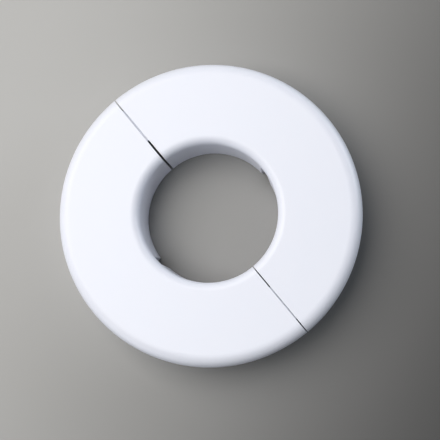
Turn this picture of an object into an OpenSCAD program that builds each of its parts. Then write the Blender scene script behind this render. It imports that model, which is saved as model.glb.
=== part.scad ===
// Split cover ring for the wall hole of an air conditioner pipe.
// Two moulded halves close round the pipe: two flat tongues on one half slide into
// two sockets under the face of the other half and click there.
// Lengths are in millimetres. The wall plane is Z = 0, the bore's axis is Z,
// and the halves meet along the Y axis.

/* [Ring] */
// Outer diameter of the closed ring
outer_d = 110; // [96:1:160]
// Diameter of the bore that the pipe passes through
bore_d = 50; // [36:0.5:60]
// Height of the ring from the wall to its flat face
height = 21; // [16:0.5:32]
// Radius of the rounded outer edge
edge_r = 4.5; // [2.5:0.1:6]
// Radius of the rounded lip at the bore
lip_r = 3; // [2:0.1:4.5]

/* [Walls] */
// Thickness of the flat face
face_t = 1.8; // [1.4:0.1:2.6]
// Thickness of the outer skirt
skirt_t = 1.8; // [1.2:0.1:2.6]
// Thickness of the collar round the bore
collar_t = 1.6; // [1.2:0.1:2.4]
// Distance that the collar's foot stays off the wall
collar_lift = 0.4; // [0:0.1:2]

/* [Seam] */
// Gap between the closed halves
seam_gap = 0.4; // [0.2:0.05:0.8]
// How far each half falls back from the +Y seam where that seam meets the bore
seam_relief = 0.22; // [0:0.02:0.5]
// Thickness of the web that closes each end of a half
web_t = 1.5; // [1:0.1:2.5]
// Distance that the webs stay off the wall
web_lift = 1; // [0.5:0.1:4]

/* [Collar slot] */
// Width of the slot in the middle of each half's collar, at the lip
slot_top_w = 3.8; // [2:0.1:8]
// Width of the same slot at the collar's foot
slot_foot_w = 5.6; // [2:0.1:10]
// Angle that the slot lies off the half's middle, towards the -Y seam
slot_shift = 3; // [0:0.5:10]
// Height of the strip of collar left between the slot and the lip
slot_land = 0.3; // [0.2:0.1:3]

/* [Ribs] */
// Number of stiffening ribs under each half's face
rib_count = 4; // [2:2:8]
// Thickness of a rib
rib_t = 1.1; // [0.8:0.1:2]
// Depth of a rib at its middle, under the face
rib_mid_h = 3; // [1.5:0.1:5]
// Depth of a rib where it meets the collar and the skirt
rib_end_h = 7; // [5:0.1:9]

/* [Snap] */
// Width of a tongue
tongue_w = 14.6; // [8:0.1:18]
// Thickness of a tongue
tongue_t = 1.6; // [1.2:0.1:2.2]
// Length of a tongue past its own half
tongue_out = 9; // [6:0.1:12]
// Length of a tongue's root under its own face
tongue_root = 8; // [5:0.1:12]
// Distance of a tongue's middle outwards from the middle of the ring's face
tongue_shift = 1.8; // [0:0.1:3]
// Radius of the corners at a tongue's tip
tip_r = 2.5; // [1:0.1:3.5]
// Thickness of the face where it laps over a tongue
lap_t = 1.2; // [0.9:0.05:1.3]
// Running clearance between a tongue and its socket
slide_clr = 0.25; // [0.15:0.05:0.4]
// Thickness of a socket's cheeks and floor
socket_t = 1.4; // [1:0.1:1.8]
// Height of the click bead across a tongue's underside
bead_h = 0.2; // [0.05:0.05:0.4]
// Length of the click bead
bead_w = 8; // [4:0.1:10]

/* [Hidden] */
$fn = 96;
plastic = [0.94, 0.95, 0.98];
// Amount by which cutting shapes run past what they cut
over = 1;

outer_r = outer_d / 2;
bore_r = bore_d / 2;
// Smallest radius of a hollow corner
corner_min = 0.4;
// Middle of a tongue, measured from the bore's axis along the seam
tongue_y = (outer_r + bore_r) / 2 + tongue_shift;
tongue_top = height - lap_t - slide_clr;
tongue_foot = tongue_top - tongue_t;
// Lead-in at a tongue's tip
lead = tongue_t * 0.3;
bead_r = tongue_t * 0.45;
// Middle of the bead, measured from the seam
bead_x = tongue_out * 0.66;
socket_w = tongue_w + 2 * slide_clr;
socket_foot = tongue_foot - slide_clr;
socket_len = tongue_out + slide_clr;
// Arch under a rib: an arc through both ends and the middle
rib_span = outer_r - skirt_t - bore_r - collar_t;
rib_rise = rib_end_h - rib_mid_h;
arch_r = (rib_span * rib_span / 4 + rib_rise * rib_rise) / (2 * rib_rise);

// Square corner piece outside a quarter round, to be cut away; the round's centre is the origin
module corner_cut(r) {
    difference() {
        square(r + over);
        circle(r);
    }
}

// Section of the ring right of the axis, filled, with its walls moved in by the given amounts
module section(at_collar, at_skirt, at_face, foot) {
    inner = bore_r + at_collar;
    outer = outer_r - at_skirt;
    top = height - at_face;
    lip = max(lip_r - at_collar, corner_min);
    edge = max(edge_r - at_skirt, corner_min);
    difference() {
        translate([inner, foot]) square([outer - inner, top - foot]);
        translate([inner + lip, top - lip]) mirror([1, 0]) corner_cut(lip);
        translate([outer - edge, top - edge]) corner_cut(edge);
    }
}

// Section with its walls moved in by half their thickness: webs and ribs end inside the walls
module core_section(foot) {
    section(collar_t / 2, skirt_t / 2, face_t / 2, foot);
}

// Whole ring shell: flat face, rounded edge and lip, skirt and collar
module shell() {
    rotate_extrude() difference() {
        section(0, 0, 0, 0);
        section(collar_t, skirt_t, face_t, -over);
        translate([bore_r - over, -over]) square([collar_t + 2 * over, collar_lift + over]);
    }
}

// Upright plate that lies in the plane through the axis and +Y, from X = 0 to the thickness t
module upright(t) {
    rotate([90, 0, 90]) linear_extrude(t) children();
}

// Web that closes the half at its +Y end; the half's cut trims it at the seam
module end_web() {
    upright(seam_gap / 2 + seam_relief + web_t) core_section(web_lift);
}

// One rib with an arched foot, in the plane through the axis and +X
module rib() {
    under = height - face_t;
    rotate([90, 0, 0]) translate([0, 0, -rib_t / 2]) linear_extrude(rib_t) difference() {
        intersection() {
            core_section(0);
            translate([bore_r, under - rib_end_h]) square([outer_r - bore_r, rib_end_h + face_t]);
        }
        translate([bore_r + collar_t + rib_span / 2, under - rib_mid_h - arch_r]) circle(arch_r, $fn = 180);
    }
}

// Ribs evenly spaced over the half from one seam to the other
module ribs() {
    step = 180 / (rib_count + 1);
    for (i = [1 : rib_count]) rotate(-90 + i * step) rib();
}

// Tapered cut through the collar near the middle of the half
module collar_slot() {
    top = height - lip_r - slot_land;
    rotate(-slot_shift) translate([bore_r - lip_r, 0, 0]) rotate([90, 0, 90])
        linear_extrude(lip_r + collar_t + over)
            polygon([[-slot_foot_w / 2, -over], [slot_foot_w / 2, -over], [slot_top_w / 2, top], [-slot_top_w / 2, top]]);
}

// Everything on the +X side of the seam; the +Y seam opens a little towards the bore
module half_space() {
    gap = seam_gap / 2;
    far = outer_r + over;
    linear_extrude(height + over)
        polygon([[gap, -far], [gap, -bore_r], [gap + seam_relief, bore_r], [gap, outer_r], [gap, far], [far, far], [far, -far]]);
}

// Block that carries the socket at the +Y end
module socket_block() {
    foot = socket_foot - socket_t;
    width = socket_w + 2 * socket_t;
    translate([0, tongue_y - width / 2, foot]) cube([socket_len, width, height - face_t / 2 - lap_t / 2 - foot]);
}

// Space for the tongue in that block, in the end web and in the underside of the face
module socket_space() {
    translate([-over, tongue_y - socket_w / 2, socket_foot])
        cube([socket_len + 2 * over, socket_w, height - lap_t - socket_foot]);
}

// Window in the socket's floor that the bead clicks into
module bead_window() {
    length = 2 * bead_r + slide_clr;
    width = bead_w + 2 * slide_clr;
    translate([bead_x - length / 2, tongue_y - width / 2, socket_foot - socket_t - over])
        cube([length, width, socket_t + 2 * over]);
}

// Tongue at the +Y end, which reaches past the seam towards -X
module tongue() {
    intersection() {
        translate([-tongue_out, tongue_y - tongue_w / 2, tongue_foot - over]) linear_extrude(tongue_t + 2 * over)
            difference() {
                square([tongue_out + tongue_root, tongue_w]);
                translate([tip_r, tip_r]) mirror([1, 0]) mirror([0, 1]) corner_cut(tip_r);
                translate([tip_r, tongue_w - tip_r]) mirror([1, 0]) corner_cut(tip_r);
            }
        translate([0, tongue_y + tongue_w / 2 + over, 0]) rotate([90, 0, 0]) linear_extrude(tongue_w + 2 * over)
            polygon([
                [tongue_root, tongue_foot],
                [lead - tongue_out, tongue_foot],
                [-tongue_out, tongue_foot + lead],
                [-tongue_out, tongue_top - lead],
                [lead - tongue_out, tongue_top],
                [tongue_root, tongue_top]
            ]);
    }
    translate([-bead_x, tongue_y + bead_w / 2, tongue_foot + bead_r - bead_h]) rotate([90, 0, 0])
        cylinder(r = bead_r, h = bead_w);
}

// Does the same at both ends of a half
module both_ends() {
    children();
    mirror([0, 1, 0]) children();
}

// What both halves share, drawn on the +X side
module plain_half() {
    shell();
    both_ends() end_web();
    ribs();
}

module socket_half() {
    color(plastic) mirror([1, 0, 0]) intersection() {
        difference() {
            union() {
                plain_half();
                both_ends() socket_block();
            }
            collar_slot();
            both_ends() {
                socket_space();
                bead_window();
            }
        }
        half_space();
    }
}

module tongue_half() {
    color(plastic) union() {
        intersection() {
            difference() {
                plain_half();
                collar_slot();
            }
            half_space();
        }
        both_ends() tongue();
    }
}

socket_half();
tongue_half();
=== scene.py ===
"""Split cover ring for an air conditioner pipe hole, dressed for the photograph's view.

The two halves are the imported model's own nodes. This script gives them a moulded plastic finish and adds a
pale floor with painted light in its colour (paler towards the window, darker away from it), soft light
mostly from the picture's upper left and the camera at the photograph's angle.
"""
import math

import bpy
from mathutils import Matrix, Vector

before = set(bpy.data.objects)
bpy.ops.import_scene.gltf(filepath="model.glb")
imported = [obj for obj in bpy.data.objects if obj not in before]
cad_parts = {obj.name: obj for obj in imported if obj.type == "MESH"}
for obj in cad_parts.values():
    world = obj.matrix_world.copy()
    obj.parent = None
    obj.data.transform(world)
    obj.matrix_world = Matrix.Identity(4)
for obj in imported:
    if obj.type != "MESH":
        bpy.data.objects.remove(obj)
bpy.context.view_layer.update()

# The camera, from a fit to the ring's outlines in the picture, in metres
CAMERA_AT = Vector((0.0035, -0.0567, 0.3550))
CAMERA_AIM = Vector((0.0015, -0.0018, 0.0))
# Azimuth of the picture's upward direction on the floor, in degrees from +X
PICTURE_UP = 50.5
# 35 mm film lens, in millimetres
LENS = 77.7

# Azimuth of the picture's rightward direction on the floor
PICTURE_RIGHT = PICTURE_UP - 90

# Distance of every light from the ring, and the strength of the light from all round
LIGHT_DISTANCE = 1.2
ROOM_COLOUR = (0.75, 0.84, 1.0, 1)
ROOM_STRENGTH = 0.02

# The plastic's two tones and its range of roughness, which wander over patches about a centimetre wide
PLASTIC_COOL = (0.825, 0.85, 0.935, 1)
PLASTIC_WARM = (0.85, 0.865, 0.94, 1)
SATIN = (0.34, 0.44)
FLOW_SCALE = 90
# Grain of the moulding's surface, about half a millimetre across, with its depth in metres
GRAIN_SCALE = 1900
GRAIN_STRENGTH = 0.25
GRAIN_DEPTH = 0.00002
# Radius to which sharp edges are softened, in metres
EDGE_SOFTNESS = 0.0002

# The floor's colour carries painted light: it runs from dark (painted shade) to pale (painted light, towards
# the window) along this angle of the picture, between these two distances in metres from the ring's middle.
# Only the warm grey hue is the floor's own colour.
FLOOR_PAINTED_LIGHT_ANGLE = 156
FLOOR_PAINTED_LIGHT_RANGE = (-0.15, 0.105)
FLOOR_PAINTED_LIT_TONE = (0.42, 0.415, 0.40, 1)
FLOOR_PAINTED_SHADE_TONE = (0.045, 0.044, 0.043, 1)
FLOOR_ROUGHNESS = 0.5
FLOOR_SIZE = 6


def picture_direction(angle, elevation=0.0):
    """Unit vector at an angle in the picture, anticlockwise from its right, raised above the floor."""
    turn = math.radians(PICTURE_RIGHT + angle)
    rise = math.radians(elevation)
    return Vector((math.cos(turn) * math.cos(rise), math.sin(turn) * math.cos(rise), math.sin(rise)))


def facing(back, up):
    """Rotation of a camera or light that looks along minus back, with the given upward direction."""
    right = up.cross(back).normalized()
    return Matrix((right, back.cross(right).normalized(), back)).transposed().to_4x4()


def make_camera():
    data = bpy.data.cameras.new("camera")
    data.lens = LENS
    data.sensor_width = 36
    data.clip_start = 0.01
    data.clip_end = 10
    camera = bpy.data.objects.new("camera", data)
    back = (CAMERA_AT - CAMERA_AIM).normalized()
    camera.matrix_world = Matrix.Translation(CAMERA_AT) @ facing(back, picture_direction(90))
    bpy.context.scene.collection.objects.link(camera)
    bpy.context.scene.camera = camera


def area_light(name, angle, elevation, size, watts, colour):
    """Square soft light that shines on the ring's middle and isn't seen itself."""
    data = bpy.data.lights.new(name, "AREA")
    data.shape = "SQUARE"
    data.size = size
    data.energy = watts
    data.color = colour
    light = bpy.data.objects.new(name, data)
    light.visible_camera = False
    towards = picture_direction(angle, elevation)
    light.matrix_world = Matrix.Translation(towards * LIGHT_DISTANCE) @ facing(towards, Vector((0, 0, 1)))
    bpy.context.scene.collection.objects.link(light)


def make_light():
    area_light("window", 157, 59, 1.2, 17.9, (1.0, 0.985, 0.97))
    area_light("room_right", 28, 12, 0.6, 6.0, (0.85, 0.92, 1.0))
    area_light("room_left", 236, 12, 0.6, 1.9, (0.85, 0.92, 1.0))
    area_light("ceiling", 285, 72, 0.6, 1.0, (0.88, 0.94, 1.0))
    world = bpy.data.worlds.new("room")
    world.use_nodes = True
    background = world.node_tree.nodes["Background"]
    background.inputs["Color"].default_value = ROOM_COLOUR
    background.inputs["Strength"].default_value = ROOM_STRENGTH
    bpy.context.scene.world = world


class Nodes:
    """Short way to add and join shader nodes in one material."""

    def __init__(self, name):
        self.material = bpy.data.materials.new(name)
        self.material.use_nodes = True
        self.tree = self.material.node_tree
        self.shader = self.tree.nodes["Principled BSDF"]

    def add(self, kind, **settings):
        node = self.tree.nodes.new(kind)
        for key, value in settings.items():
            if key in node.inputs:
                node.inputs[key].default_value = value
            else:
                setattr(node, key, value)
        return node

    def join(self, source, target):
        self.tree.links.new(source, target)


def moulded_plastic():
    """White moulded plastic with a fine satin grain, faint flow marks and slightly softened edges."""
    n = Nodes("white_plastic")
    place = n.add("ShaderNodeTexCoord").outputs["Object"]

    flow = n.add("ShaderNodeTexNoise", Scale=FLOW_SCALE, Detail=3.0, Roughness=0.55)
    n.join(place, flow.inputs["Vector"])
    tint = n.add("ShaderNodeMix", data_type="RGBA")
    tint.inputs["A"].default_value = PLASTIC_COOL
    tint.inputs["B"].default_value = PLASTIC_WARM
    n.join(flow.outputs["Fac"], tint.inputs["Factor"])
    n.join(tint.outputs["Result"], n.shader.inputs["Base Color"])

    satin = n.add("ShaderNodeMapRange")
    satin.inputs["To Min"].default_value = SATIN[0]
    satin.inputs["To Max"].default_value = SATIN[1]
    n.join(flow.outputs["Fac"], satin.inputs["Value"])
    n.join(satin.outputs["Result"], n.shader.inputs["Roughness"])

    soft_edge = n.add("ShaderNodeBevel", Radius=EDGE_SOFTNESS)
    grain = n.add("ShaderNodeTexNoise", Scale=GRAIN_SCALE, Detail=2.0)
    n.join(place, grain.inputs["Vector"])
    grain_bump = n.add("ShaderNodeBump", Strength=GRAIN_STRENGTH, Distance=GRAIN_DEPTH)
    n.join(grain.outputs["Fac"], grain_bump.inputs["Height"])
    n.join(soft_edge.outputs["Normal"], grain_bump.inputs["Normal"])
    n.join(grain_bump.outputs["Normal"], n.shader.inputs["Normal"])
    return n.material


def floor_with_painted_light():
    """Warm grey board whose colour carries painted light: paler towards the window, painted shade away from
    it.
    """
    n = Nodes("floor")
    towards = picture_direction(FLOOR_PAINTED_LIGHT_ANGLE)
    place = n.add("ShaderNodeTexCoord")
    along = n.add("ShaderNodeVectorMath", operation="DOT_PRODUCT")
    along.inputs[1].default_value = towards
    n.join(place.outputs["Object"], along.inputs[0])
    # Painted light and shade on the floor: the colour ramps from dark to pale towards the window
    painted_light_ramp = n.add("ShaderNodeMapRange", interpolation_type="SMOOTHSTEP")
    painted_light_ramp.inputs["From Min"].default_value = FLOOR_PAINTED_LIGHT_RANGE[0]
    painted_light_ramp.inputs["From Max"].default_value = FLOOR_PAINTED_LIGHT_RANGE[1]
    n.join(along.outputs["Value"], painted_light_ramp.inputs["Value"])
    mix = n.add("ShaderNodeMix", data_type="RGBA")
    mix.inputs["A"].default_value = FLOOR_PAINTED_SHADE_TONE
    mix.inputs["B"].default_value = FLOOR_PAINTED_LIT_TONE
    n.join(painted_light_ramp.outputs["Result"], mix.inputs["Factor"])
    n.join(mix.outputs["Result"], n.shader.inputs["Base Color"])
    n.shader.inputs["Roughness"].default_value = FLOOR_ROUGHNESS
    return n.material


def make_floor():
    bpy.ops.mesh.primitive_plane_add(size=FLOOR_SIZE)
    floor = bpy.context.object
    floor.name = "floor"
    floor.data.materials.append(floor_with_painted_light())


def dress_halves():
    finish = moulded_plastic()
    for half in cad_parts.values():
        half.data.materials.clear()
        half.data.materials.append(finish)


make_camera()
make_light()
make_floor()
dress_halves()
bpy.context.scene.view_settings.view_transform = "Standard"
